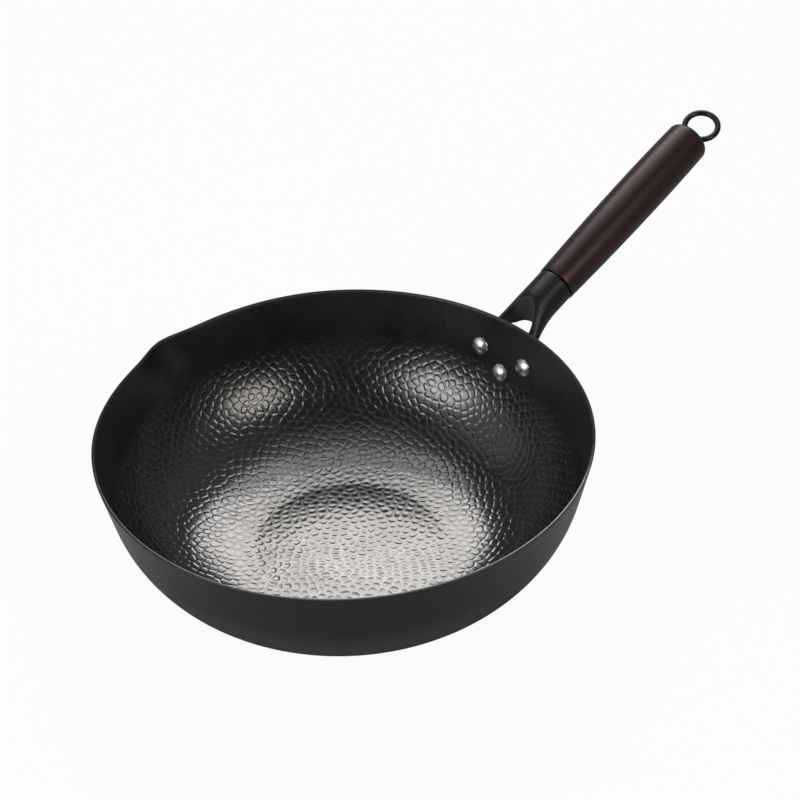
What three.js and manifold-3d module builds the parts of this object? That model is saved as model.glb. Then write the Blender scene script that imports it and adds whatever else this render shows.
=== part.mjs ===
import * as THREE from 'three';
import { mergeVertices } from 'three/addons/utils/BufferGeometryUtils.js';
import Module from 'manifold-3d';

// Flat-bottomed wok: a thin bowl with one pouring lip, a cast yoke riveted to its wall,
// a turned wooden grip, and a hanging eye whose long rod clamps the grip to the yoke.
// Millimetres and degrees. The origin is the middle of the flat base, +X runs out along
// the handle, +Y points towards the pouring lip and +Z is up.

// Bowl
const rimRadius = 160;
const wallThickness = 1.8;
const wallFlare = 13;
const wallSlant = 31.5;
const cornerRadius = 85;
const baseCrown = 2;
const crownMargin = 4;

// Pouring lip pressed into the rim, with the rim drawn in on either side of it
const lipAzimuth = 94.5;
const lipReach = 3.5;
const lipHalfAngle = 6.5;
const lipDepth = 38;
const drawIn = 1.2;
const drawInHalfAngle = 32;
const drawInFlatness = 4;

// Handle axis: where the grip meets the yoke, measured from the rim
const handleRise = 19;
const jointOut = 48;
const jointLift = 7.5;

// Yoke: round socket that opens into a fork
const socketRadius = 13.4;
const socketStraight = 18;
const cupRadius = 9.5;
const cupDepth = 12;
const threadDepth = 12;
const throatWall = 6;
const forkWidth = 41;
const armThickness = 7.5;
const armTop = 7.8;
const armBottom = 5.6;
const armDrop = 5.5;
const armDelay = 1.5;
const armSquareness = 2.8;
const forkOverrun = 8;
const windowDraft = 15;
const webDepth = 7.7;
const hollowRadius = 16;
const hollowWidth = 40;
const hollowSetback = 4;
const socketEdge = 0.8;

// Riveted foot of the yoke
const footThickness = 3.5;
const footMargin = 9.5;

// Rivets
const upperRivetSpacing = 39;
const upperRivetDrop = 24.2;
const lowerRivetDrop = 36.8;
const shankRadius = 3;
const headRadius = 6.7;
const headHeight = 2.7;
const tailRadius = 4.8;
const tailHeight = 2;
const spotFaceMargin = 1.6;
const spotFaceDepth = 0.3;

// Grip
const gripLength = 155;
const gripStartRadius = 13.9;
const gripBellyRadius = 16;
const gripBellyPlace = 105;
const gripEndRadius = 15.4;
const gripEndRound = 5;
const gripStartRound = 0.6;

// Hanging eye, at rest turned a little from level about the handle axis
const eyeRadius = 11.8;
const wireRadius = 2.1;
const rodRadius = 3;
const eyeSink = 0.8;
const eyeTwist = 13.3;

// Clearances
const seatGap = 0.3;
const holeClearance = 0.3;
const headGap = 0.4;

// Facets
const bowlSegments = 96;
const turnedSegments = 36;
const smallSegments = 20;
const cornerSteps = 5;
const crownSteps = 4;
const wallSteps = 4;
const forkStations = 14;
const ringPoints = 36;
const plateSteps = 10;
const domeSteps = 4;
const gripSteps = 5;
const wireSegments = 12;
const weldDistance = 1e-4;

const radians = THREE.MathUtils.degToRad;
const wasm = await Module();
wasm.setup();

// Bowl measures that follow from the driving sizes
const flare = radians(wallFlare);
const cornerTurn = Math.PI / 2 - flare;
const straightRise = wallSlant * Math.cos(flare);
const baseRadius = rimRadius - cornerRadius * Math.sin(cornerTurn) - wallSlant * Math.sin(flare);
const bowlHeight = cornerRadius * (1 - Math.cos(cornerTurn)) + straightRise;

// Handle measures that follow from the driving sizes
const rise = radians(handleRise);
const rimDistance = jointOut / Math.cos(rise);
const throat = cupDepth + threadDepth + throatWall;
const rodHole = rodRadius + holeClearance;
const handleFrame = new THREE.Matrix4()
  .makeTranslation(rimRadius + jointOut, 0, bowlHeight + jointLift)
  .multiply(new THREE.Matrix4().makeRotationY(-rise));

// A closed geometry as a solid for cutting and joining
function toSolid(geometry) {
  const bare = geometry.clone();
  bare.deleteAttribute('normal');
  bare.deleteAttribute('uv');
  const merged = mergeVertices(bare, weldDistance);
  const corners = [];
  for (let i = 0; i < merged.index.count; i += 3) {
    const [a, b, c] = [0, 1, 2].map((k) => merged.index.getX(i + k));
    if (a !== b && b !== c && c !== a) corners.push(a, b, c);
  }
  const vertProperties = new Float32Array(merged.attributes.position.array);
  const triVerts = new Uint32Array(corners);
  return new wasm.Manifold(new wasm.Mesh({ numProp: 3, vertProperties, triVerts }));
}

// A solid back as a geometry
function toGeometry(solid) {
  const { numProp, vertProperties, triVerts } = solid.getMesh();
  const places = [];
  for (let i = 0; i < vertProperties.length; i += numProp) {
    places.push(vertProperties[i], vertProperties[i + 1], vertProperties[i + 2]);
  }
  const geometry = new THREE.BufferGeometry();
  geometry.setAttribute('position', new THREE.Float32BufferAttribute(places, 3));
  geometry.setIndex([...triVerts]);
  geometry.computeVertexNormals();
  return geometry;
}

// A profile of (radius, height) points turned about Z
function turnAboutZ(points, segments) {
  return new THREE.LatheGeometry(points, segments).rotateX(Math.PI / 2);
}

// A profile of (radius, length) points turned about X
function turnAboutX(points, segments) {
  return new THREE.LatheGeometry(points, segments).rotateZ(-Math.PI / 2);
}

// A plain round cutter along X from one length to another
function roundCutter(radius, from, to, segments) {
  const outline = [
    new THREE.Vector2(0, from),
    new THREE.Vector2(radius, from),
    new THREE.Vector2(radius, to),
    new THREE.Vector2(0, to),
  ];
  return turnAboutX(outline, segments);
}

// Closed rings of equal count, skinned one to the next and capped at both ends
function loft(rings) {
  const count = rings[0].length;
  const places = rings.flat().flatMap((point) => [point.x, point.y, point.z]);
  const faces = [];
  for (let ring = 0; ring + 1 < rings.length; ring += 1) {
    for (let i = 0; i < count; i += 1) {
      const j = (i + 1) % count;
      const [a, b] = [ring * count + i, ring * count + j];
      faces.push(a, b, b + count, a, b + count, a + count);
    }
  }
  const last = (rings.length - 1) * count;
  for (let i = 1; i + 1 < count; i += 1) {
    faces.push(0, i + 1, i, last, last + i, last + i + 1);
  }
  const geometry = new THREE.BufferGeometry();
  geometry.setAttribute('position', new THREE.Float32BufferAttribute(places, 3));
  geometry.setIndex(faces);
  return geometry;
}

// Outside of the bowl, moved out by an offset: base, round corner and slanted wall.
// The points run from the base edge up to the rim.
function wallLine(offset) {
  const line = new THREE.Path();
  line.moveTo(baseRadius, -offset);
  const turnStart = -Math.PI / 2;
  line.absarc(baseRadius, cornerRadius, cornerRadius + offset, turnStart, turnStart + cornerTurn, false);
  const [fromRadius, fromHeight] = line.currentPoint.toArray();
  for (let step = 1; step <= wallSteps; step += 1) {
    const along = (wallSlant * step) / wallSteps;
    line.lineTo(fromRadius + along * Math.sin(flare), fromHeight + along * Math.cos(flare));
  }
  return line.getPoints(cornerSteps);
}

// Inside of the base, slightly domed, from just within its edge to the middle
function crownLine() {
  const points = [];
  for (let step = crownSteps; step >= 0; step -= 1) {
    const share = step / crownSteps;
    const height = wallThickness + baseCrown * (1 - share * share);
    points.push(new THREE.Vector2((baseRadius - crownMargin) * share, height));
  }
  return points;
}

// Point on the outside of the wall, and its tilt from upright, a given drop below the rim
function wallAt(drop) {
  if (drop <= straightRise) {
    return { radius: rimRadius - drop * Math.tan(flare), tilt: flare };
  }
  const tilt = Math.asin((cornerRadius - (bowlHeight - drop)) / cornerRadius);
  return { radius: baseRadius + cornerRadius * Math.cos(tilt), tilt };
}

// How far the pressed lip moves the wall outwards at an azimuth and height
function lipPush(azimuth, height) {
  const fade = THREE.MathUtils.smoothstep(height, bowlHeight - lipDepth, bowlHeight);
  const away = THREE.MathUtils.euclideanModulo(azimuth - radians(lipAzimuth) + Math.PI, 2 * Math.PI) - Math.PI;
  const outward = (lipReach + drawIn) * Math.exp(-((away / radians(lipHalfAngle)) ** 2));
  const inward = drawIn * Math.exp(-((away / radians(drawInHalfAngle)) ** drawInFlatness));
  return fade * (outward - inward);
}

function pressLip(geometry) {
  const place = geometry.attributes.position;
  for (let i = 0; i < place.count; i += 1) {
    const [x, y, z] = [place.getX(i), place.getY(i), place.getZ(i)];
    const radius = Math.hypot(x, y);
    if (radius > 0) {
      const stretch = 1 + lipPush(Math.atan2(y, x), z) / radius;
      place.setXY(i, x * stretch, y * stretch);
    }
  }
  return geometry;
}

// Places on the wall for the three rivets; local +X points out of the wall
function rivetFrame(sideways, drop) {
  const { radius, tilt } = wallAt(drop);
  const azimuth = Math.asin(sideways / radius);
  return new THREE.Matrix4()
    .makeRotationZ(azimuth)
    .multiply(new THREE.Matrix4().makeTranslation(radius, 0, bowlHeight - drop))
    .multiply(new THREE.Matrix4().makeRotationY(tilt));
}

const rivetPlaces = {
  rivet_left: { sideways: upperRivetSpacing / 2, drop: upperRivetDrop },
  rivet_right: { sideways: -upperRivetSpacing / 2, drop: upperRivetDrop },
  rivet_low: { sideways: 0, drop: lowerRivetDrop },
};

// Lengths along a rivet, counted outwards from the outside of the wall
const headSeat = -wallThickness - headGap;
const footFace = seatGap + footThickness;
const spotFace = footFace - spotFaceDepth;
const tailSeat = spotFace + seatGap;

function cutRivetHoles(solid) {
  const reach = wallThickness + footThickness + headHeight;
  const hole = roundCutter(shankRadius + holeClearance, -reach, reach, smallSegments);
  return Object.values(rivetPlaces).reduce((left, { sideways, drop }) => {
    const cutter = hole.clone().applyMatrix4(rivetFrame(sideways, drop));
    return left.subtract(toSolid(cutter));
  }, solid);
}

// Bowl: one turned shell with a domed inside bottom, pressed lip, three rivet holes
function makeBowl() {
  const outside = wallLine(0);
  const inside = wallLine(-wallThickness).reverse();
  const rimOuter = outside.at(-1);
  const rimInner = inside[0];
  const rimCrown = rimOuter.clone().lerp(rimInner, 1 / 2);
  const crownRise = wallThickness / 2;
  rimCrown.add(new THREE.Vector2(Math.sin(flare), Math.cos(flare)).multiplyScalar(crownRise));
  const profile = [
    new THREE.Vector2(0, 0),
    ...outside,
    rimCrown,
    ...inside,
    ...crownLine(),
  ];
  const shell = pressLip(turnAboutZ(profile, bowlSegments));
  return toGeometry(cutRivetHoles(toSolid(shell)));
}

// Everything inside the outside of the wall, with a seat gap, carried up past the rim
function bowlEnvelope() {
  const line = wallLine(seatGap);
  const top = line.at(-1);
  const above = bowlHeight + jointLift + forkWidth;
  const profile = [
    new THREE.Vector2(0, -seatGap),
    ...line,
    new THREE.Vector2(top.x, above),
    new THREE.Vector2(0, above),
  ];
  return toSolid(turnAboutZ(profile, bowlSegments));
}

// Fork outline at a distance back from the joint: round at the socket, wide and low at the
// wall. The upper half stays an ellipse and the lower half grows squarer.
function forkRing(back) {
  const spread = Math.max(0, (back - socketStraight) / (rimDistance - socketStraight));
  const ease = THREE.MathUtils.smoothstep(spread, 0, 1);
  const halfWidth = THREE.MathUtils.lerp(socketRadius, forkWidth / 2, spread ** armDelay);
  const above = THREE.MathUtils.lerp(socketRadius, armTop, ease);
  const below = THREE.MathUtils.lerp(socketRadius, armBottom, ease);
  const squareness = 2 / THREE.MathUtils.lerp(2, armSquareness, ease);
  const sag = armDrop * spread * spread;
  const ring = [];
  for (let i = 0; i < ringPoints; i += 1) {
    const angle = (2 * Math.PI * i) / ringPoints;
    const across = Math.cos(angle);
    const up = Math.sin(angle);
    const power = up < 0 ? squareness : 1;
    const y = Math.sign(across) * halfWidth * Math.abs(across) ** power;
    const height = up < 0 ? -below * Math.abs(up) ** power : above * up;
    ring.push(new THREE.Vector3(-back, y, height - sag));
  }
  return ring;
}

function forkBody() {
  const rings = [];
  const end = rimDistance + forkOverrun;
  const bevel = forkRing(0).map((point) => point.multiplyScalar(1 - socketEdge / socketRadius));
  rings.push(bevel);
  for (let station = 0; station <= forkStations; station += 1) {
    rings.push(forkRing(THREE.MathUtils.lerp(socketEdge, end, station / forkStations)));
  }
  return toSolid(loft(rings.reverse()));
}

// Window between the arms: an upright oval that opens out below the handle axis
function forkWindow() {
  const middle = -rimDistance;
  const length = rimDistance - throat;
  const width = forkWidth / 2 - armThickness;
  const reach = 2 * socketRadius;
  const levels = [
    { height: reach, growth: 0 },
    { height: 0, growth: 0 },
    { height: -reach, growth: reach * Math.tan(radians(windowDraft)) },
  ];
  const rings = levels.map(({ height, growth }) => {
    const ring = [];
    for (let i = 0; i < ringPoints; i += 1) {
      const angle = (2 * Math.PI * i) / ringPoints;
      const x = middle + height * Math.tan(rise) + (length + growth) * Math.cos(angle);
      ring.push(new THREE.Vector3(x, (width + growth) * Math.sin(angle), height));
    }
    return ring;
  });
  return toSolid(loft(rings.reverse()));
}

// Hollow under the throat, between the arms
function forkHollow() {
  const ball = new THREE.SphereGeometry(1, turnedSegments, smallSegments);
  ball.scale(hollowRadius, hollowWidth / 2, hollowRadius);
  ball.translate(-throat - hollowSetback, 0, -webDepth - hollowRadius);
  return toSolid(ball);
}

// Foot: a plate bent to the wall, cut to a rounded triangle around the rivets
function forkFoot() {
  const back = wallLine(seatGap + footThickness);
  const skin = wallLine(-wallThickness).reverse();
  const band = toSolid(turnAboutZ([...back, ...skin, back[0]], bowlSegments));
  const plate = new THREE.Shape();
  const edge = Math.atan2(lowerRivetDrop - upperRivetDrop, upperRivetSpacing / 2);
  const half = Math.PI / 2;
  const upperHeight = bowlHeight - upperRivetDrop;
  plate.absarc(upperRivetSpacing / 2, upperHeight, footMargin, edge - half, half, false);
  plate.absarc(-upperRivetSpacing / 2, upperHeight, footMargin, half, 3 * half - edge, false);
  plate.absarc(0, bowlHeight - lowerRivetDrop, footMargin, 3 * half - edge, 3 * half + edge, false);
  const depth = rimRadius + jointOut;
  const prism = new THREE.ExtrudeGeometry(plate, { depth, bevelEnabled: false, curveSegments: plateSteps });
  prism.rotateX(half).rotateZ(half);
  return band.intersect(toSolid(prism));
}

function inHandleFrame(solid) {
  return solid.transform(handleFrame.elements);
}

// Yoke: fork, foot, cup for the grip's tenon, hole for the rod, rivet holes and spot faces
function makeYoke() {
  const cup = toSolid(roundCutter(cupRadius, -cupDepth, socketEdge, turnedSegments));
  const thread = toSolid(roundCutter(rodHole, -cupDepth - threadDepth, 0, smallSegments));
  const fork = forkBody().subtract(forkWindow()).subtract(forkHollow());
  let yoke = inHandleFrame(fork).add(forkFoot());
  const spot = roundCutter(tailRadius + spotFaceMargin, spotFace, spotFace + jointOut / 2, smallSegments);
  for (const { sideways, drop } of Object.values(rivetPlaces)) {
    yoke = yoke.subtract(toSolid(spot.clone().applyMatrix4(rivetFrame(sideways, drop))));
  }
  yoke = yoke.subtract(inHandleFrame(cup)).subtract(inHandleFrame(thread));
  return toGeometry(cutRivetHoles(yoke.subtract(bowlEnvelope())));
}

// Domed end of a rivet: from its rim to its crown, as (radius, length) points
function dome(radius, seat, crown) {
  const ball = (radius * radius + crown * crown) / (2 * Math.abs(crown));
  const sweep = Math.asin(radius / ball);
  const side = Math.sign(crown);
  const points = [];
  for (let step = 0; step < domeSteps; step += 1) {
    const angle = sweep * (1 - step / domeSteps);
    const height = ball * Math.cos(angle) - (ball - Math.abs(crown));
    points.push(new THREE.Vector2(ball * Math.sin(angle), seat + side * height));
  }
  points.push(new THREE.Vector2(0, seat + crown));
  return points;
}

// Rivet: domed head inside the bowl, shank through wall and foot, set tail outside
function makeRivet() {
  const profile = [
    ...dome(headRadius, headSeat, -headHeight).reverse(),
    new THREE.Vector2(shankRadius, headSeat),
    new THREE.Vector2(shankRadius, tailSeat),
    ...dome(tailRadius, tailSeat, tailHeight),
  ];
  return turnAboutX(profile, smallSegments);
}

// Grip: turned wood with a tenon at the yoke, a long soft belly and a rounded end,
// bored for the rod and counterbored for the foot of the eye
const eyeSeatDepth = eyeSink + seatGap;
const eyeMiddle = gripLength - eyeSink + eyeRadius + wireRadius;
const sunkHeight = eyeRadius + wireRadius - eyeSeatDepth;
const eyeSeatRadius = Math.sqrt((eyeRadius + wireRadius) ** 2 - sunkHeight ** 2) + holeClearance;

function makeGrip() {
  const tenonRadius = cupRadius - holeClearance;
  const endStart = gripLength - gripEndRound;
  const profile = new THREE.Path();
  profile.moveTo(rodHole, -cupDepth + seatGap);
  profile.lineTo(tenonRadius, -cupDepth + seatGap);
  profile.lineTo(tenonRadius, seatGap);
  profile.lineTo(gripStartRadius - gripStartRound, seatGap);
  profile.lineTo(gripStartRadius, seatGap + gripStartRound);
  profile.quadraticCurveTo(gripBellyRadius, gripBellyPlace / 2, gripBellyRadius, gripBellyPlace);
  profile.quadraticCurveTo(gripBellyRadius, (gripBellyPlace + endStart) / 2, gripEndRadius, endStart);
  profile.absarc(gripEndRadius - gripEndRound, endStart, gripEndRound, 0, Math.PI / 2, false);
  profile.lineTo(eyeSeatRadius, gripLength);
  profile.lineTo(eyeSeatRadius, gripLength - eyeSeatDepth);
  profile.lineTo(rodHole, gripLength - eyeSeatDepth);
  profile.lineTo(rodHole, -cupDepth + seatGap);
  return turnAboutX(profile.getPoints(gripSteps), turnedSegments);
}

// Hanging eye: a closed ring in line with the handle, on a rod down to the yoke
function makeEye() {
  const ring = new THREE.TorusGeometry(eyeRadius, wireRadius, wireSegments, turnedSegments);
  ring.rotateX(radians(eyeTwist)).translate(eyeMiddle, 0, 0);
  const rodEnd = -cupDepth - threadDepth + seatGap;
  const rod = roundCutter(rodRadius, rodEnd, eyeMiddle - eyeRadius, smallSegments);
  return toGeometry(toSolid(ring).add(toSolid(rod)));
}

function addMesh(group, name, geometry, color, roughness, metalness) {
  const material = new THREE.MeshStandardMaterial({ color, roughness, metalness });
  const mesh = new THREE.Mesh(geometry, material);
  mesh.name = name;
  group.add(mesh);
  return mesh;
}

const wok = new THREE.Group();
addMesh(wok, 'bowl', makeBowl(), 0x1e2022, 0.42, 0.85);
addMesh(wok, 'handle_yoke', makeYoke(), 0x1b1d1e, 0.5, 0.3);
for (const [name, { sideways, drop }] of Object.entries(rivetPlaces)) {
  const rivet = addMesh(wok, name, makeRivet(), 0xc9c7c3, 0.25, 1);
  rivet.applyMatrix4(rivetFrame(sideways, drop));
}

const handle = new THREE.Group();
handle.applyMatrix4(handleFrame);
addMesh(handle, 'wooden_grip', makeGrip(), 0x33201f, 0.45, 0);
addMesh(handle, 'hanging_eye', makeEye(), 0x1b1d1e, 0.45, 0.3);
wok.add(handle);

export default wok;
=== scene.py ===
"""Looks of the hammered wok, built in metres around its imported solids."""

import math

import bpy
import numpy as np
from mathutils import Matrix, Vector
from mathutils.kdtree import KDTree


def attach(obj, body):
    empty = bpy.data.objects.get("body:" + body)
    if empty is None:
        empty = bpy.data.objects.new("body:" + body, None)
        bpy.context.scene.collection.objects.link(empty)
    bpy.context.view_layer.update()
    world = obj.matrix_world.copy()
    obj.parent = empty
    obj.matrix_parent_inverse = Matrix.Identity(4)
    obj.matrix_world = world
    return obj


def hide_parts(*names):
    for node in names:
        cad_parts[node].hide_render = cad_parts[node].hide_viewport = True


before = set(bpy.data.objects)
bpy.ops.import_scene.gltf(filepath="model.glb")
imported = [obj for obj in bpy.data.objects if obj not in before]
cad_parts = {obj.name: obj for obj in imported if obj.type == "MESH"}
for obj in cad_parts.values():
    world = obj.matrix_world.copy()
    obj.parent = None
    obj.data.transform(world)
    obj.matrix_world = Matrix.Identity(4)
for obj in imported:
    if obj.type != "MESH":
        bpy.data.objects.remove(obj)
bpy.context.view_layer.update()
MM = 0.001
QUARTER_TURN = math.pi / 2

# Bowl, in millimetres: the driving sizes of the solids
RIM_RADIUS = 160.0
WALL = 1.8
FLARE = math.radians(13)
WALL_SLANT = 31.5
CORNER_RADIUS = 85.0
INSIDE_CORNER_RADIUS = CORNER_RADIUS - WALL
CORNER_TURN = QUARTER_TURN - FLARE
BASE_RADIUS = RIM_RADIUS - CORNER_RADIUS * math.sin(CORNER_TURN) - WALL_SLANT * math.sin(FLARE)
BOWL_HEIGHT = CORNER_RADIUS * (1 - math.cos(CORNER_TURN)) + WALL_SLANT * math.cos(FLARE)

# Lengths of the sections from the middle of the bottom to the rim
INSIDE_LENGTH = BASE_RADIUS + INSIDE_CORNER_RADIUS * CORNER_TURN + WALL_SLANT
OUTSIDE_LENGTH = BASE_RADIUS + CORNER_RADIUS * CORNER_TURN + WALL_SLANT

# Domed bottom: height, margin to the round corner, and the shares of the dome's radius at which
# its flat middle ends and its even slope starts
BASE_CROWN = 2.2
CROWN_MARGIN = 7.5
CROWN_FLAT = 0.12
CROWN_SLOPED = 0.86

# Slight lift of the wall's foot, which comes and goes along the section
FOOT_LIFT = 0.5
FOOT_START = 63.5
FOOT_RISE = 12.5
FOOT_END = 140.0
FOOT_FALL = 60.0

# Pouring lip, pressed outwards, with the wall beside it drawn in
LIP_AZIMUTH = math.radians(94.5)
LIP_REACH = 3.5
LIP_HALF_ANGLE = math.radians(6.5)
LIP_DEPTH = 38.0
DRAW_IN = 1.2
DRAW_IN_HALF_ANGLE = math.radians(32)

# Hammered pits of the inside: spread, jitter as a share of the spacing, size and strength
PIT_SEED = 11
PIT_SPACING = 6.1
PIT_JITTER = 0.28
PIT_WEIGHT = 2.5
PIT_STRENGTH = (0.75, 1.25)
PIT_NEIGHBOURS = 6
SECTION_SAMPLES = 2000
GOLDEN_ANGLE = math.pi * (3 - math.sqrt(5))

# Form of a pit on the bottom and on the wall: depth, width of its sloped side, half of the land
# between two pits, and the share of that land's wear on the wall; where the wall's form takes
# over from the bottom's; and the rounding of a pit's corners
PIT_DEPTH_FLOOR = 0.165
PIT_DEPTH_WALL = 0.152
PIT_EDGE_FLOOR = 2.0
PIT_EDGE_WALL = 1.0
LAND_FLOOR = 0.25
LAND_WALL = 0.12
WORN_WALL = 0.61
WALL_FORM_START = 0.86 * BASE_RADIUS
WALL_FORM_BLEND = 0.42 * BASE_RADIUS
CORNER_SOFTNESS = 0.45

# Where the pits get shallow: around the wall's foot, near the rim and at the rivets
SHALLOW_PLACE = 75.0
SHALLOW_REACH = 12.0
SHALLOW_SHARE = 0.6
FADE_START = 45.0
FADE_END = 26.0
RIVET_CLEAR = 3.0

# Mesh of the bowl: zones of the inside by the length that they reach, their step and the count
# of points around, then counts for the rim, the outside and the underside
FINE_STEP = 0.45
NORMAL_STEP = 0.05
INSIDE_ZONES = (
    (24.0, FINE_STEP, 180),
    (50.0, FINE_STEP, 360),
    (75.0, FINE_STEP, 720),
    (INSIDE_LENGTH - FADE_START, 0.55, 1440),
    (INSIDE_LENGTH - FADE_END, 0.7, 1440),
    (INSIDE_LENGTH, 3.0, 720),
)
RIM_COUNT = 720
RIM_STEPS = 12
RIM_SQUARENESS = 0.3
OUTSIDE_STEPS = 40
UNDERSIDE_COUNT = 360
UNDERSIDE_STEPS = 9
UNDERSIDE_END = 8.0

# Handle: lengths run from the joint of yoke and grip along the handle's axis
JOINT = Vector((RIM_RADIUS + 48.0, 0, BOWL_HEIGHT + 7.5))
HANDLE_RISE = math.radians(19)
HANDLE_FRAME = Matrix.Translation(JOINT * MM) @ Matrix.Rotation(-HANDLE_RISE, 4, "Y")
YOKE_VOXEL = 0.45
YOKE_ROUNDS = 3
YOKE_SOFTENING = 0.5

GRIP_LENGTH = 155.0
GRIP_START_RADIUS = 13.9
GRIP_BELLY_RADIUS = 16.0
GRIP_BELLY_PLACE = 105.0
GRIP_END_RADIUS = 15.4
GRIP_END_ROUND = 5.0
GRIP_SEGMENTS = 96
SEAT_GAP = 0.3
SHOULDER_ROUND = 0.6
SHOULDER_DISH = 0.05
TENON_RADIUS = 9.2
TENON_END = -11.7
ROD_HOLE = 3.3

EYE_RADIUS = 11.8
WIRE_RADIUS = 2.1
EYE_SINK = 0.8
EYE_TWIST = math.radians(13.3)
EYE_COUNT = 96
WIRE_COUNT = 24
ROD_RADIUS = 3.0
ROD_END = -23.7
ROD_CHAMFER = 0.5
ROD_SEGMENTS = 32

# The round ring is drawn this much smaller, which keeps it inside the solid's faceted one
RING_MARGIN = 0.1

# Rivets: sideways place and drop below the rim, then their sizes, with seats along their axis
RIVETS = {"rivet_left": (19.5, 24.2), "rivet_right": (-19.5, 24.2), "rivet_low": (0.0, 36.8)}
HEAD_RADIUS = 6.7
HEAD_HEIGHT = 2.7
HEAD_SEAT = -2.2
HEAD_EDGE = 0.1
HEAD_DRAFT = 0.05
HEAD_HOLLOW = 0.02
SHANK_RADIUS = 3.0
TAIL_RADIUS = 4.8
TAIL_HEIGHT = 2.0
TAIL_SEAT = 3.8
RIVET_SEGMENTS = 64

# Places on surfaces, in metres: where the rim gets its painted sheen, by x + y; where the wall is
# brushed, by height; and where the yoke's window gets painted light inside, by its normal's x part
# and by x
RIM_SHEEN = (-0.03, -0.085)
BRUSHED = (0.04, 0.085)
LIT_WINDOW_FACING = (-0.5, -0.75)
LIT_WINDOW_PLACE = (0.19, 0.182)

# Spans of a noise that are spread out to a full change of colour and of roughness
COLOUR_SPAN = (0.35, 0.65)
ROUGH_SPAN = (0.3, 0.7)
WHITE = (1, 1, 1, 1)

# Camera, in millimetres from the middle of the rim
LENS = 100.0
SENSOR = 36.0
CAMERA_DISTANCE = 1415.0
CAMERA_RIGHT = 36.7
CAMERA_UP = 19.2
CAMERA_ELEVATION = math.radians(37.09)
CAMERA_ROLL = math.radians(2.07)
VIEW_BEARING = math.radians(45.2)
VIEW_TURN = Matrix.Rotation(-VIEW_BEARING, 3, "Z")

# Lamps, in metres: the point that they face, and the energy of a square metre at radiance 1
LAMP_TARGET = Vector((0, 0, 0.03))
LAMP_ENERGY = 4

# Floor, in metres: half its side, its drop below the base, its grey, and the share of plain white
# that the camera sees in it
FLOOR_REACH = 8.0
FLOOR_DROP = 0.0002
FLOOR_GREY = 0.36
FLOOR_WHITE = 0.95

# White backdrop in reflections: sines of the elevations at which it starts to fade and is gone
BACKDROP_TOP = 0.0
BACKDROP_FADE = 0.08

# Even fill: strength on the camera's side and beyond the wok, the reach of x + y of a direction
# between the two, and colour
FILL_NEAR = 0.07
FILL_FAR = 0.19
FILL_REACH = 1.4
FILL_COLOUR = (0.85, 0.97, 1.15, 1)


def smooth(t):
    """An even step from 0 to 1."""
    t = np.clip(t, 0, 1)
    return t * t * (3 - 2 * t)


def circle(count):
    """Angles that divide a full turn evenly."""
    return np.arange(count) * 2 * math.pi / count


def unit(vectors):
    return vectors / np.linalg.norm(vectors, axis=1, keepdims=True)


def crown_fall(share):
    """Fall of the domed bottom from 0 to 1: flat in the middle, then round, then evenly sloped."""
    turn = CROWN_SLOPED - CROWN_FLAT
    v = np.clip((share - CROWN_FLAT) / turn, 0, 1)
    fall = turn * (v**3 - v**4 / 2) + np.clip(share - CROWN_SLOPED, 0, None)
    return fall / (1 - CROWN_SLOPED + turn / 2)


def meridian(along, radius, floor, crown):
    """Points (r, z) of a bowl's section at lengths from its middle."""
    flat = np.clip(along, 0, BASE_RADIUS)
    on_arc = np.clip((along - BASE_RADIUS) / radius, 0, CORNER_TURN)
    on_wall = np.clip(along - BASE_RADIUS - radius * CORNER_TURN, 0, None)
    share = np.clip(flat / (BASE_RADIUS - CROWN_MARGIN), 0, 1)
    r = flat + radius * np.sin(on_arc) + on_wall * math.sin(FLARE)
    z = floor + radius * (1 - np.cos(on_arc)) + on_wall * math.cos(FLARE)
    return np.stack([r, z + crown * (1 - crown_fall(share))], -1)


def inside_section(along):
    """Points (r, z) of the inside, with the wall's foot lifted."""
    along = np.asarray(along, float)
    section = meridian(along, INSIDE_CORNER_RADIUS, WALL, BASE_CROWN)
    rise = smooth((along - FOOT_START) / FOOT_RISE)
    section[..., 1] += FOOT_LIFT * rise * smooth((FOOT_END - along) / FOOT_FALL)
    return section


def outside_section(along):
    """Points (r, z) of the outside, which is flat below."""
    return meridian(np.asarray(along, float), CORNER_RADIUS, 0.0, 0.0)


def lip_push(azimuth, height):
    """How far the pressed lip moves the wall outwards."""
    fade = smooth((height - BOWL_HEIGHT + LIP_DEPTH) / LIP_DEPTH)
    away = (azimuth - LIP_AZIMUTH + math.pi) % (2 * math.pi) - math.pi
    outward = (LIP_REACH + DRAW_IN) * np.exp(-((away / LIP_HALF_ANGLE) ** 2))
    inward = DRAW_IN * np.exp(-((away / DRAW_IN_HALF_ANGLE) ** 4))
    return fade * (outward - inward)


def turned(r, z, azimuth):
    """Points of a section turned about Z, with the lip pressed in."""
    r = r + lip_push(azimuth, z)
    return np.stack([r * np.cos(azimuth), r * np.sin(azimuth), z + 0 * azimuth], -1)


def ring_normals(along, azimuth):
    """Normals of the smooth inside, from short steps along it and around it."""
    before, here, after = inside_section([along - NORMAL_STEP, along, along + NORMAL_STEP])
    outwards = turned(*after, azimuth) - turned(*before, azimuth)
    turn = NORMAL_STEP / max(here[0], NORMAL_STEP)
    around = turned(*here, azimuth + turn) - turned(*here, azimuth - turn)
    return unit(np.cross(outwards, around))


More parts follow.
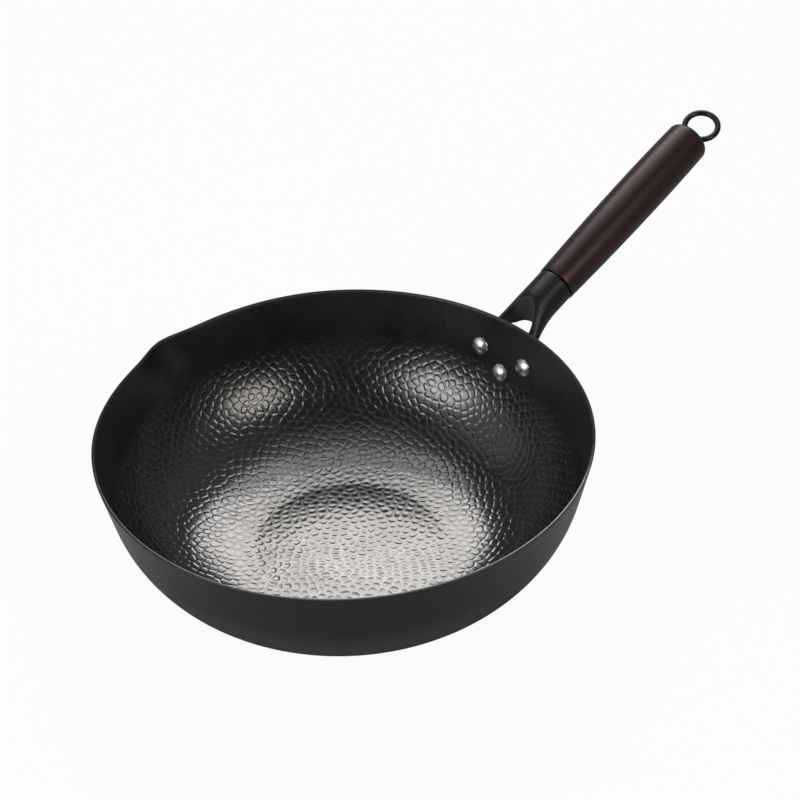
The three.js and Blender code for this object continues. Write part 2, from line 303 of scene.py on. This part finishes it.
def hammer_blows():
    """Middles, weights and strengths of the hammer's blows, which are spread evenly by area along
    a golden-angle spiral and then jittered. A larger weight makes a smaller pit."""
    draw = np.random.default_rng(PIT_SEED)
    lengths = np.linspace(0, INSIDE_LENGTH - FADE_END, SECTION_SAMPLES)
    radii = inside_section(lengths)[:, 0]
    bands = math.pi * (radii[1:] + radii[:-1]) * np.diff(lengths)
    area = np.concatenate([[0], np.cumsum(bands)])
    count = int(area[-1] / (PIT_SPACING**2 * math.sqrt(3) / 2))
    along = np.interp((np.arange(count) + 0.5) * area[-1] / count, area, lengths)
    radius = np.interp(along, lengths, radii)
    along = along + PIT_SPACING * draw.uniform(-PIT_JITTER, PIT_JITTER, count)
    shift = PIT_SPACING * draw.uniform(-PIT_JITTER, PIT_JITTER, count)
    section = inside_section(along)
    azimuth = np.arange(count) * GOLDEN_ANGLE + shift / radius
    middles = turned(section[:, 0], section[:, 1], azimuth)
    weights = draw.uniform(-PIT_WEIGHT, PIT_WEIGHT, count)
    strengths = draw.uniform(*PIT_STRENGTH, count)
    return middles, weights, strengths


def rivet_frame(sideways, drop):
    """Place of a rivet on the outside of the wall; local +X points out of the wall."""
    if drop <= WALL_SLANT * math.cos(FLARE):
        tilt = FLARE
        radius = RIM_RADIUS - drop * math.tan(FLARE)
    else:
        tilt = math.asin((CORNER_RADIUS - BOWL_HEIGHT + drop) / CORNER_RADIUS)
        radius = BASE_RADIUS + CORNER_RADIUS * math.cos(tilt)
    spin = Matrix.Rotation(math.asin(sideways / radius), 4, "Z")
    place = Matrix.Translation(Vector((radius, 0, BOWL_HEIGHT - drop)) * MM)
    return spin @ place @ Matrix.Rotation(tilt, 4, "Y")


def edge_distance(points):
    """Distance of points of the inside from the edge of their own pit, with the direction in which
    it grows, and the strength of the pit's blow."""
    middles, weights, strengths = hammer_blows()
    tree = KDTree(len(middles))
    for i, middle in enumerate(middles):
        tree.insert(middle, i)
    tree.balance()
    found = [tree.find_n(point, PIT_NEIGHBOURS) for point in points]
    index = np.array([[i for _, i, _ in near] for near in found])
    power = np.array([[gap * gap for _, _, gap in near] for near in found]) + weights[index]
    order = np.argsort(power, axis=1)
    index = np.take_along_axis(index, order, 1)
    power = np.take_along_axis(power, order, 1)
    away = middles[index[:, 1:]] - middles[index[:, :1]]
    between = np.linalg.norm(away, axis=2)
    edges = (power[:, 1:] - power[:, :1]) / (2 * between)
    near = np.exp(-edges / CORNER_SOFTNESS)
    total = near.sum(1)
    growth = -(away * (near / between)[..., None]).sum(1) / total[:, None]
    return -CORNER_SOFTNESS * np.log(total), growth, strengths[index[:, 0]]


def pit_fade(points, along):
    """Share of a pit's depth at points of the inside: none near the rim and at the rivets."""
    fade = smooth((INSIDE_LENGTH - FADE_END - along) / (FADE_START - FADE_END))
    for sideways, drop in RIVETS.values():
        middle = np.array((rivet_frame(sideways, drop) @ Vector((-WALL * MM, 0, 0))) / MM)
        gap = np.linalg.norm(points - middle, axis=1)
        fade = fade * smooth((gap - HEAD_RADIUS) / RIVET_CLEAR)
    return fade


def press_pits(points, normals, along):
    """Presses the pits into points of the inside; returns them with their normals and the share
    of worn land around the pits, 0 to 1."""
    fade = pit_fade(points, along)
    edge, growth, strength = edge_distance(points)
    wall = smooth((along - WALL_FORM_START) / WALL_FORM_BLEND)
    land = LAND_FLOOR + (LAND_WALL - LAND_FLOOR) * wall
    width = PIT_EDGE_FLOOR + (PIT_EDGE_WALL - PIT_EDGE_FLOOR) * wall
    foot = 1 - SHALLOW_SHARE * smooth(1 - np.abs(along - SHALLOW_PLACE) / SHALLOW_REACH)
    depth = fade * strength * foot * (PIT_DEPTH_FLOOR + (PIT_DEPTH_WALL - PIT_DEPTH_FLOOR) * wall)
    t = np.clip((edge - land) / width, 0, 1)
    pressed = points - normals * (depth * smooth(t))[:, None]
    growth = growth - normals * (growth * normals).sum(1, keepdims=True)
    slope = depth * 6 * t * (1 - t) / width
    tilted = unit(normals + growth * slope[:, None])
    worn = fade * (1 - smooth(t)) * (1 + (WORN_WALL - 1) * wall)
    return pressed, tilted, worn


def inside_rings():
    """Length along the section and count of points of each ring of the inside, from the middle."""
    rings = []
    start = FINE_STEP
    for end, step, count in INSIDE_ZONES:
        rings += [(along, count) for along in np.arange(start, end, step)]
        start = end
    return rings


def rim_rings():
    """Rings of the squared rim, from the inside over to the outside."""
    inner = inside_section(INSIDE_LENGTH)
    outer = outside_section(OUTSIDE_LENGTH)
    up = np.array([math.sin(FLARE), math.cos(FLARE)]) * WALL / 2
    rings = []
    for turn in np.linspace(0, math.pi, RIM_STEPS + 1)[1:-1]:
        across = np.sign(math.cos(turn)) * abs(math.cos(turn)) ** RIM_SQUARENESS
        rise = math.sin(turn) ** RIM_SQUARENESS
        r, z = (inner + outer) / 2 + (inner - outer) / 2 * across + up * rise
        rings.append(turned(min(r, RIM_RADIUS), z, circle(RIM_COUNT)))
    return rings


def outside_rings():
    """Rings of the plain outside, from the rim to the middle of the underside."""
    wall = np.linspace(OUTSIDE_LENGTH, BASE_RADIUS, OUTSIDE_STEPS)
    base = np.linspace(BASE_RADIUS, UNDERSIDE_END, UNDERSIDE_STEPS)[1:]
    rings = [turned(*outside_section(along), circle(RIM_COUNT)) for along in wall]
    return rings + [turned(*outside_section(along), circle(UNDERSIDE_COUNT)) for along in base]


def skin(rings, first_cap, last_cap):
    """Points and faces of a skin over rings whose counts differ by whole factors, closed at both
    ends by a point, and for each face the number of the ring that it starts from."""
    starts = np.cumsum([0] + [len(ring) for ring in rings])
    faces = []
    sources = []
    for j in range(len(rings) - 1):
        a, b = len(rings[j]), len(rings[j + 1])
        steps = min(a, b)
        ka, kb = a // steps, b // steps
        for i in range(steps):
            inner = [starts[j] + (i * ka + k) % a for k in range(ka + 1)]
            outer = [starts[j + 1] + (i * kb + k) % b for k in range(kb + 1)]
            faces.append([inner[0], *outer, *reversed(inner[1:])])
            sources.append(j)
    first_top, last_top = starts[-1], starts[-1] + 1
    a, b = len(rings[0]), len(rings[-1])
    faces += [[first_top, i, (i + 1) % a] for i in range(a)]
    sources += [0] * a
    faces += [[starts[-2] + i, last_top, starts[-2] + (i + 1) % b] for i in range(b)]
    sources += [len(rings) - 1] * b
    return np.concatenate([*rings, [first_cap, last_cap]]), faces, sources


def closed_grid(rows, columns):
    """Faces of a grid of points that closes both ways."""
    faces = []
    for row in range(rows):
        here = row * columns
        beside = (row + 1) % rows * columns
        for i in range(columns):
            n = (i + 1) % columns
            faces.append([here + i, here + n, beside + n, beside + i])
    return faces


def lathe(profile, segments, closed=False):
    """Points and faces of a profile of (radius, length) points turned about local X. An open
    profile starts and ends on the axis."""
    azimuth = circle(segments)
    rings = []
    for r, x in profile:
        rings.append(np.stack([x + 0 * azimuth, r * np.cos(azimuth), r * np.sin(azimuth)], -1))
    if closed:
        return np.concatenate(rings), closed_grid(len(rings), segments)
    points, faces, _ = skin(rings[1:-1], rings[0][0], rings[-1][0])
    return points, [face[::-1] for face in faces]


def placed(points, place):
    """Points in millimetres carried to their place, in metres."""
    return points * MM @ np.array(place.to_3x3()).T + np.array(place.translation)


def add_object(name, data):
    made = bpy.data.objects.new(name, data)
    bpy.context.scene.collection.objects.link(made)
    return made


def smooth_shading(mesh):
    mesh.polygons.foreach_set("use_smooth", [True] * len(mesh.polygons))


def new_object(name, points, faces, materials, picks=None):
    """A mesh object in metres; picks says which of its materials each face has."""
    mesh = bpy.data.meshes.new(name)
    mesh.from_pydata(points.tolist(), [], faces)
    for surface in materials:
        mesh.materials.append(surface)
    if picks is not None:
        mesh.polygons.foreach_set("material_index", picks)
    smooth_shading(mesh)
    mesh.update()
    return add_object(name, mesh)


def make_bowl(materials):
    """The bowl as one skin, with materials for its inside, its rim and its outside."""
    inside = inside_rings()
    plain = np.concatenate([turned(*inside_section(along), circle(n)) for along, n in inside])
    normals = np.concatenate([ring_normals(along, circle(n)) for along, n in inside])
    lengths = np.concatenate([np.full(n, along) for along, n in inside])
    pressed, tilted, land = press_pits(plain, normals, lengths)
    ends = np.cumsum([n for _, n in inside])
    rim = rim_rings()
    rings = [*np.split(pressed, ends[:-1]), *rim, *outside_rings()]
    points, faces, sources = skin(rings, [0, 0, rings[0][:, 2].mean()], [0, 0, 0])
    rim_starts = len(inside)
    outside_starts = rim_starts + len(rim) - 1
    picks = np.searchsorted([rim_starts, outside_starts], sources, side="right").tolist()
    bowl = new_object("hammered_bowl", points * MM, faces, materials, picks)
    shares = np.ones(len(points), np.float32)
    shares[: len(land)] = land
    bowl.data.attributes.new("land", "FLOAT", "POINT").data.foreach_set("value", shares)
    shading = np.zeros((len(points), 3))
    shading[: len(tilted)] = tilted
    bowl.data.normals_split_custom_set_from_vertices(shading.tolist())
    return bowl


def arc(middle, radius, start, end, count):
    """Points on an arc about a middle."""
    turn = np.linspace(start, end, count)
    return np.array(middle) + radius * np.stack([np.cos(turn), np.sin(turn)], -1)


def bezier(start, control, end, count):
    """Points on a curve that leaves and reaches its ends in the direction of a control point."""
    t = np.linspace(0, 1, count)[:, None]
    start, control, end = (np.array(p, float) for p in (start, control, end))
    return (1 - t) ** 2 * start + 2 * t * (1 - t) * control + t**2 * end


def dome(radius, seat, crown, count):
    """From a dome's rim to its top, as (radius, length) points."""
    ball = (radius**2 + crown**2) / (2 * abs(crown))
    angle = np.linspace(math.asin(radius / ball), 0, count)
    height = ball * np.cos(angle) - (ball - abs(crown))
    return np.stack([ball * np.sin(angle), seat + math.copysign(1, crown) * height], -1)


def make_grip(surface):
    """A turned grip: bore, tenon, rounded shoulder, long belly, rounded end and the eye's seat."""
    shoulder_end = SEAT_GAP + SHOULDER_ROUND
    shoulder_middle = (GRIP_START_RADIUS - SHOULDER_ROUND, shoulder_end)
    belly = (GRIP_BELLY_RADIUS, GRIP_BELLY_PLACE)
    round_start = GRIP_LENGTH - GRIP_END_ROUND
    round_middle = (GRIP_END_RADIUS - GRIP_END_ROUND, round_start)
    rise_control = (GRIP_BELLY_RADIUS, GRIP_BELLY_PLACE / 2)
    fall_control = (GRIP_BELLY_RADIUS, (GRIP_BELLY_PLACE + round_start) / 2)
    seat = EYE_SINK + SEAT_GAP
    ring_edge = EYE_RADIUS + WIRE_RADIUS
    seat_radius = math.sqrt(ring_edge**2 - (ring_edge - seat) ** 2) + SEAT_GAP
    seat_end = GRIP_LENGTH - seat
    profile = np.concatenate(
        [
            [(ROD_HOLE, TENON_END), (TENON_RADIUS, TENON_END)],
            [(TENON_RADIUS, SEAT_GAP - SHOULDER_DISH)],
            arc(shoulder_middle, SHOULDER_ROUND, -QUARTER_TURN, 0, 5),
            bezier((GRIP_START_RADIUS, shoulder_end), rise_control, belly, 30)[1:],
            bezier(belly, fall_control, (GRIP_END_RADIUS, round_start), 14)[1:],
            arc(round_middle, GRIP_END_ROUND, 0, QUARTER_TURN, 12)[1:],
            [(seat_radius, GRIP_LENGTH), (seat_radius, seat_end), (ROD_HOLE, seat_end)],
        ]
    )
    points, faces = lathe(profile, GRIP_SEGMENTS, closed=True)
    return new_object("turned_grip", placed(points, HANDLE_FRAME), faces, [surface])


def make_rivet(name, surface):
    """A rivet with a domed head inside the bowl and a domed tail behind the yoke's foot."""
    head_edge = (HEAD_RADIUS - HEAD_DRAFT, HEAD_SEAT + HEAD_EDGE)
    shank_start = (SHANK_RADIUS, HEAD_SEAT + HEAD_EDGE + HEAD_HOLLOW)
    profile = np.concatenate(
        [
            dome(HEAD_RADIUS, HEAD_SEAT, -HEAD_HEIGHT, 16)[::-1],
            [head_edge, shank_start, (SHANK_RADIUS, TAIL_SEAT)],
            dome(TAIL_RADIUS, TAIL_SEAT, TAIL_HEIGHT, 12),
        ]
    )
    points, faces = lathe(profile, RIVET_SEGMENTS)
    place = rivet_frame(*RIVETS[name])
    return new_object(name + "_polished", placed(points, place), faces, [surface])


def make_yoke(surface):
    """The solid's yoke as one smooth casting with softened edges."""
    yoke = add_object("cast_yoke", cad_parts["handle_yoke"].data.copy())
    remesh = yoke.modifiers.new("skin", "REMESH")
    remesh.mode = "VOXEL"
    remesh.voxel_size = YOKE_VOXEL * MM
    remesh.use_smooth_shade = True
    soften = yoke.modifiers.new("soften", "SMOOTH")
    soften.factor = YOKE_SOFTENING
    soften.iterations = YOKE_ROUNDS
    evaluated = yoke.evaluated_get(bpy.context.evaluated_depsgraph_get())
    casting = bpy.data.meshes.new_from_object(evaluated)
    yoke.modifiers.clear()
    yoke.data = casting
    smooth_shading(casting)
    casting.materials.clear()
    casting.materials.append(surface)
    return yoke


def make_eye(surface):
    """A closed ring and its long rod, as one piece."""
    middle = GRIP_LENGTH - EYE_SINK + EYE_RADIUS + WIRE_RADIUS
    around = circle(EYE_COUNT)
    ring = []
    for turn in circle(WIRE_COUNT):
        r = EYE_RADIUS - RING_MARGIN + WIRE_RADIUS * math.cos(turn)
        side = WIRE_RADIUS * math.sin(turn) + 0 * around
        ring.append(np.stack([r * np.cos(around), r * np.sin(around), side], -1))
    twist = Matrix.Translation((middle * MM, 0, 0)) @ Matrix.Rotation(EYE_TWIST, 4, "X")
    ring_points = placed(np.concatenate(ring), HANDLE_FRAME @ twist)
    rod_top = middle - EYE_RADIUS
    rod_profile = [
        (0, ROD_END),
        (ROD_RADIUS - ROD_CHAMFER, ROD_END),
        (ROD_RADIUS, ROD_END + ROD_CHAMFER),
        (ROD_RADIUS, rod_top),
        (0, rod_top),
    ]
    rod_points, rod_faces = lathe(rod_profile, ROD_SEGMENTS)
    points = np.concatenate([ring_points, placed(rod_points, HANDLE_FRAME)])
    faces = closed_grid(WIRE_COUNT, EYE_COUNT)
    faces += [[len(ring_points) + i for i in face] for face in rod_faces]
    return new_object("hanging_eye_cast", points, faces, [surface])


class Nodes:
    """A node tree with short ways to add nodes. Inputs go by name or number, and each is given a
    value or another node's output."""

    def __init__(self, tree):
        self.tree = tree

    def put(self, socket, value):
        if isinstance(value, bpy.types.NodeSocket):
            self.tree.links.new(value, socket)
        else:
            socket.default_value = value

    def node(self, kind, inputs=None, **settings):
        """Adds a node and returns its outputs."""
        made = self.tree.nodes.new(kind)
        for name, value in settings.items():
            setattr(made, name, value)
        for key, value in (inputs or {}).items():
            self.put(made.inputs[key], value)
        return made.outputs

    def math(self, operation, *values, clamp=False):
        inputs = dict(enumerate(values))
        return self.node("ShaderNodeMath", inputs, operation=operation, use_clamp=clamp)[0]

    def spread(self, value, low, high, to_low=0.0, to_high=1.0):
        """A value carried from one span to another and kept inside it."""
        inputs = {0: value, 1: low, 2: high, 3: to_low, 4: to_high}
        return self.node("ShaderNodeMapRange", inputs)[0]

    def split(self, vector):
        """The three parts of a vector."""
        return self.node("ShaderNodeSeparateXYZ", {0: vector})

    def mix(self, factor, first, second):
        """A blend of two shaders."""
        return self.node("ShaderNodeMixShader", {0: factor, 1: first, 2: second})[0]


class Surface(Nodes):
    """A piece's material, with constant values set on its shader and the rest varied by nodes."""

    def __init__(self, name, **values):
        self.material = bpy.data.materials.new(name)
        self.material.use_nodes = True
        super().__init__(self.material.node_tree)
        self.shader = self.tree.nodes["Principled BSDF"]
        for socket, value in values.items():
            self.shader.inputs[socket.replace("_", " ")].default_value = value

    def set(self, socket, value):
        self.put(self.shader.inputs[socket], value)

    def linked(self, socket):
        """The output that a socket of the shader was set to."""
        return self.shader.inputs[socket].links[0].from_socket

    def coordinates(self, scale=(1, 1, 1), place=None):
        """Object coordinates, first carried into the frame of a place if one is given."""
        vector = self.node("ShaderNodeTexCoord")["Object"]
        if place is not None:
            back = place.inverted()
            move = {"Vector": vector, "Location": back.translation, "Rotation": back.to_euler()}
            vector = self.node("ShaderNodeMapping", move)[0]
        return self.node("ShaderNodeMapping", {"Vector": vector, "Scale": scale})[0]

    def noise(self, vector, scale=1.0, detail=3.0, roughness=0.5):
        inputs = {"Vector": vector, "Scale": scale, "Detail": detail, "Roughness": roughness}
        return self.node("ShaderNodeTexNoise", inputs)["Fac"]

    def blend(self, factor, first, second):
        """A blend of two colours."""
        inputs = {0: factor, 6: first, 7: second}
        return self.node("ShaderNodeMix", inputs, data_type="RGBA")[2]

    def bump(self, height, distance, strength, **normal):
        inputs = {"Height": height, "Distance": distance, "Strength": strength, **normal}
        return self.node("ShaderNodeBump", inputs)[0]


def grey(level, tint=(1, 1, 1)):
    return (level * tint[0], level * tint[1], level * tint[2], 1)


def iron(name, ior, tint, dark, light, roughness, dull_span, dullness):
    """Seasoned black iron: mottled, finely grained, faintly brushed up the wall, and duller
    across a span of heights."""
    made = Surface(name, IOR=ior, Specular_Tint=tint)
    place = made.coordinates()
    x, y, height = made.split(place)
    mottle = made.noise(place, scale=55.0, detail=4.0, roughness=0.6)
    made.set("Base Color", made.blend(made.spread(mottle, *COLOUR_SPAN), dark, light))
    azimuth = made.math("ARCTAN2", y, x)
    strip = made.node("ShaderNodeCombineXYZ", {0: azimuth, 2: made.math("MULTIPLY", height, 2.0)})
    streak = made.noise(strip[0], scale=60.0, roughness=0.6)
    streak = made.math("SUBTRACT", streak, 0.5)
    brushed = made.math("MULTIPLY", streak, made.spread(height, *BRUSHED))
    rough = made.spread(mottle, *ROUGH_SPAN, *roughness)
    rough = made.math("ADD", rough, made.spread(height, *dull_span, 0.0, dullness))
    rough = made.math("ADD", rough, made.math("MULTIPLY", brushed, 0.15))
    made.set("Roughness", rough)
    grain = made.noise(place, scale=1500.0, detail=2.0)
    made.set("Normal", made.bump(grain, distance=0.00003, strength=0.6))
    return made


def inside_iron():
    """The inside, worn down to metal on the land around its pits."""
    made = iron(
        "seasoned_inside",
        ior=1.7,
        tint=WHITE,
        dark=grey(0.004, (0.95, 1, 1.1)),
        light=grey(0.006, (0.97, 1, 1.05)),
        roughness=(0.15, 0.21),
        dull_span=(0.01, 0.08),
        dullness=0.14,
    )
    bare_metal_and_rim_sheen = grey(0.12, (1, 0.99, 0.98))
    land = made.node("ShaderNodeAttribute", attribute_name="land")["Fac"]
    worn = made.spread(land, 0.5, 1.0)
    made.set("Base Color", made.blend(worn, made.linked("Base Color"), bare_metal_and_rim_sheen))
    made.set("Metallic", worn)
    rougher = made.math("MULTIPLY", worn, 0.12)
    made.set("Roughness", made.math("ADD", made.linked("Roughness"), rougher))
    return made.material


def outside_iron():
    """The outside, which is duller towards its foot."""
    cool = (0.9, 1, 1.25)
    made = iron(
        "seasoned_outside",
        ior=1.62,
        tint=(0.93, 0.95, 1, 1),
        dark=grey(0.0045, cool),
        light=grey(0.0065, cool),
        roughness=(0.24, 0.31),
        dull_span=(0.055, 0.02),
        dullness=0.35,
    )
    return made.material


def rim_iron():
    """Black iron with a painted sheen along the front: lighter and metallic there by place,
    standing in for the reflection that the rim shows.
    """
    made = Surface("rim_with_painted_sheen", IOR=1.45, Specular_IOR_Level=0.2)
    place = made.coordinates()
    wear = made.noise(place, scale=400.0)
    x, y, _ = made.split(place)
    bare_metal_and_rim_sheen = made.spread(made.math("ADD", x, y), *RIM_SHEEN)
    black = made.blend(made.spread(wear, *COLOUR_SPAN), grey(0.005), grey(0.009))
    # Painted sheen: the front of the rim is made lighter and metallic by place, for the reflection
    # it shows there, not for wear
    made.set("Base Color", made.blend(bare_metal_and_rim_sheen, black, grey(0.075)))
    made.set("Metallic", bare_metal_and_rim_sheen)
    rough = made.spread(wear, *ROUGH_SPAN, 0.27, 0.32)
    rougher = made.spread(bare_metal_and_rim_sheen, 0.0, 1.0, 0.25, 0.0)
    made.set("Roughness", made.math("ADD", rough, rougher))
    return made.material


def black_casting(name, roughness):
    """Satin black, with painted light on the inside of the yoke's window, which is also rougher
    there.
    """
    made = Surface(name, IOR=1.47, Specular_IOR_Level=0.3, Specular_Tint=(0.87, 0.95, 1, 1))
    cool = (0.93, 1, 1.08)
    place = made.coordinates()
    cloud = made.noise(place, scale=90.0)
    grain = made.noise(place, scale=1100.0, roughness=0.6)
    black = made.blend(made.spread(cloud, *COLOUR_SPAN), grey(0.006, cool), grey(0.009, cool))
    facing = made.split(made.node("ShaderNodeTexCoord")["Normal"])[0]
    facing = made.spread(facing, *LIT_WINDOW_FACING)
    window = made.math("MULTIPLY", facing, made.spread(made.split(place)[0], *LIT_WINDOW_PLACE))
    # Painted light: the inside of the yoke's window gets a lighter grey, standing in for the light
    # that falls there
    made.set("Base Color", made.blend(window, black, grey(0.045, cool)))
    rough = made.spread(grain, *ROUGH_SPAN, *roughness)
    made.set("Roughness", made.math("ADD", rough, made.math("MULTIPLY", window, 0.2)))
    made.set("Normal", made.bump(grain, distance=0.00005, strength=0.7))
    return made.material


def polished_steel():
    """Slightly warm steel with a soft polish."""
    made = Surface("polished_steel", Metallic=1.0)
    warm = (1, 0.985, 0.96)
    cloud = made.noise(made.coordinates(), scale=300.0)
    made.set("Base Color", made.blend(cloud, grey(0.62, warm), grey(0.72, warm)))
    made.set("Roughness", made.spread(cloud, *ROUGH_SPAN, 0.26, 0.31))
    return made.material


def dark_wood():
    """Dark stained wood with its grain along the handle, under a satin lacquer."""
    made = Surface(
        "dark_wood", IOR=1.45, Specular_IOR_Level=0.36, Specular_Tint=(1, 0.88, 0.9, 1)
    )
    dark = (0.0145, 0.0046, 0.005, 1)
    light = (0.0275, 0.0088, 0.0094, 1)
    lines = made.coordinates((9, 420, 420), HANDLE_FRAME)
    grain = made.noise(lines, detail=5.0, roughness=0.65)
    broad = made.noise(made.coordinates((5, 90, 90), HANDLE_FRAME), detail=2.0)
    pores = made.noise(made.coordinates((60, 1600, 1600), HANDLE_FRAME), detail=2.0)
    tone = made.math("ADD", made.math("MULTIPLY", grain, 0.6), made.math("MULTIPLY", broad, 0.4))
    made.set("Base Color", made.blend(made.spread(tone, 0.36, 0.64), dark, light))
    made.set("Roughness", made.spread(grain, *ROUGH_SPAN, 0.32, 0.42))
    ridges = made.bump(grain, distance=0.00008, strength=0.4)
    made.set("Normal", made.bump(pores, distance=0.00006, strength=0.5, Normal=ridges))
    return made.material


def make_camera():
    """A camera that faces the bowl from above its front, slightly rolled."""
    sin_e, cos_e = math.sin(CAMERA_ELEVATION), math.cos(CAMERA_ELEVATION)
    across = Vector((1, 0, 0))
    rise = Vector((0, sin_e, cos_e))
    ahead = Vector((0, cos_e, -sin_e))
    place = CAMERA_RIGHT * across + CAMERA_UP * rise - CAMERA_DISTANCE * ahead
    right = VIEW_TURN @ (math.cos(CAMERA_ROLL) * across - math.sin(CAMERA_ROLL) * rise)
    up = VIEW_TURN @ (math.sin(CAMERA_ROLL) * across + math.cos(CAMERA_ROLL) * rise)
    back = VIEW_TURN @ -ahead
    data = bpy.data.cameras.new("camera")
    data.lens = LENS
    data.sensor_width = SENSOR
    camera = add_object("camera", data)
    turn = Matrix((right, up, back)).transposed().to_4x4()
    rim_middle = Vector((0, 0, BOWL_HEIGHT))
    camera.matrix_world = Matrix.Translation((VIEW_TURN @ place + rim_middle) * MM) @ turn
    bpy.context.scene.camera = camera


def softbox(name, bearing, elevation, distance, width, height, radiance, tint=(1, 1, 1)):
    """An area lamp that faces the bowl. Its bearing, in degrees, is 0 beyond the wok as the camera
    sees it and 90 to the right."""
    b, e = math.radians(bearing), math.radians(elevation)
    level = Vector((math.sin(b), math.cos(b), 0)) * math.cos(e)
    away = VIEW_TURN @ (level + Vector((0, 0, math.sin(e))))
    data = bpy.data.lights.new(name, "AREA")
    data.shape = "RECTANGLE"
    data.size = width
    data.size_y = height
    data.energy = LAMP_ENERGY * width * height * radiance
    data.color = tint
    lamp = add_object(name, data)
    turn = away.to_track_quat("Z", "Y").to_matrix().to_4x4()
    lamp.matrix_world = Matrix.Translation(away * distance + LAMP_TARGET) @ turn
    lamp.visible_camera = False


def make_floor():
    """A plain pale floor, almost white where the camera sees it."""
    surface = bpy.data.materials.new("pale_floor")
    surface.use_nodes = True
    surface.node_tree.nodes.clear()
    nodes = Nodes(surface.node_tree)
    seen = nodes.node("ShaderNodeLightPath")["Is Camera Ray"]
    paint = nodes.node("ShaderNodeBsdfDiffuse", {"Color": grey(FLOOR_GREY)})[0]
    glow = nodes.node("ShaderNodeEmission")[0]
    both = nodes.mix(nodes.math("MULTIPLY", seen, FLOOR_WHITE), paint, glow)
    nodes.node("ShaderNodeOutputMaterial", {"Surface": both})
    corners = np.array([[-1, -1, 0], [1, -1, 0], [1, 1, 0], [-1, 1, 0]]) * FLOOR_REACH
    floor = new_object("floor", corners, [[0, 1, 2, 3]], [surface])
    floor.location.z = -FLOOR_DROP


def make_world():
    """White where the camera sees it. Reflections see the white low down, like a backdrop, and
    a dim even fill above it."""
    world = bpy.data.worlds.new("studio")
    world.use_nodes = True
    bpy.context.scene.world = world
    nodes = Nodes(world.node_tree)
    x, y, height = nodes.split(nodes.node("ShaderNodeTexCoord")["Generated"])
    beyond = nodes.math("ADD", x, y)
    strength = nodes.spread(beyond, -FILL_REACH, FILL_REACH, FILL_NEAR, FILL_FAR)
    fill = nodes.tree.nodes["Background"]
    nodes.put(fill.inputs["Color"], FILL_COLOUR)
    nodes.put(fill.inputs["Strength"], strength)
    white = nodes.node("ShaderNodeBackground", {"Color": WHITE})[0]
    low = nodes.spread(height, BACKDROP_TOP, BACKDROP_FADE, 1.0, 0.0)
    rays = nodes.node("ShaderNodeLightPath")
    mirrored = nodes.math("ADD", rays["Is Glossy Ray"], rays["Is Transmission Ray"])
    shown = nodes.math("MULTIPLY_ADD", mirrored, low, rays["Is Camera Ray"], clamp=True)
    both = nodes.mix(shown, fill.outputs[0], white)
    nodes.put(nodes.tree.nodes["World Output"].inputs["Surface"], both)


def make_lamps():
    """A broad softbox beyond the wok, two above it, one to each side, and two dim panels."""
    softbox(
        "back_softbox",
        bearing=5,
        elevation=43.9,
        distance=3.0,
        width=2.0,
        height=0.96,
        radiance=6.6,
        tint=(1, 0.965, 0.935),
    )
    softbox(
        "top_softbox",
        bearing=-2,
        elevation=61,
        distance=1.3,
        width=0.9,
        height=0.36,
        radiance=1.6,
    )
    softbox(
        "high_softbox",
        bearing=-2,
        elevation=74,
        distance=1.35,
        width=0.9,
        height=0.9,
        radiance=0.45,
    )
    softbox(
        "right_softbox",
        bearing=127,
        elevation=36,
        distance=1.3,
        width=0.5,
        height=0.5,
        radiance=5.7,
        tint=(1, 0.95, 0.87),
    )
    softbox(
        "left_softbox",
        bearing=-125,
        elevation=30,
        distance=1.3,
        width=0.62,
        height=0.46,
        radiance=6.2,
    )
    softbox(
        "right_panel",
        bearing=75,
        elevation=45,
        distance=1.6,
        width=1.8,
        height=1.4,
        radiance=0.12,
    )
    softbox(
        "left_panel",
        bearing=-110,
        elevation=30,
        distance=1.6,
        width=2.5,
        height=1.5,
        radiance=0.42,
    )


def place_piece(piece, body, slot, *nodes):
    """Joins a piece to its body and hides the solid's nodes that it stands for. Its slot is not
    used.
    """
    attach(piece, body)
    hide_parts(*nodes)


bpy.context.scene.view_settings.view_transform = "Standard"
make_camera()
bowl = make_bowl([inside_iron(), rim_iron(), outside_iron()])
place_piece(bowl, "pan", "bowl_iron", "bowl")
yoke = make_yoke(black_casting("satin_black", roughness=(0.32, 0.42)))
place_piece(yoke, "pan", "black_casting", "handle_yoke")
steel = polished_steel()
for node in RIVETS:
    place_piece(make_rivet(node, steel), "pan", "rivet_steel", node)
place_piece(make_grip(dark_wood()), "pan", "grip_wood", "wooden_grip")
eye = make_eye(black_casting("satin_black_eye", roughness=(0.2, 0.27)))
place_piece(eye, "eye", "black_casting", "hanging_eye")
make_floor()
make_world()
make_lamps()
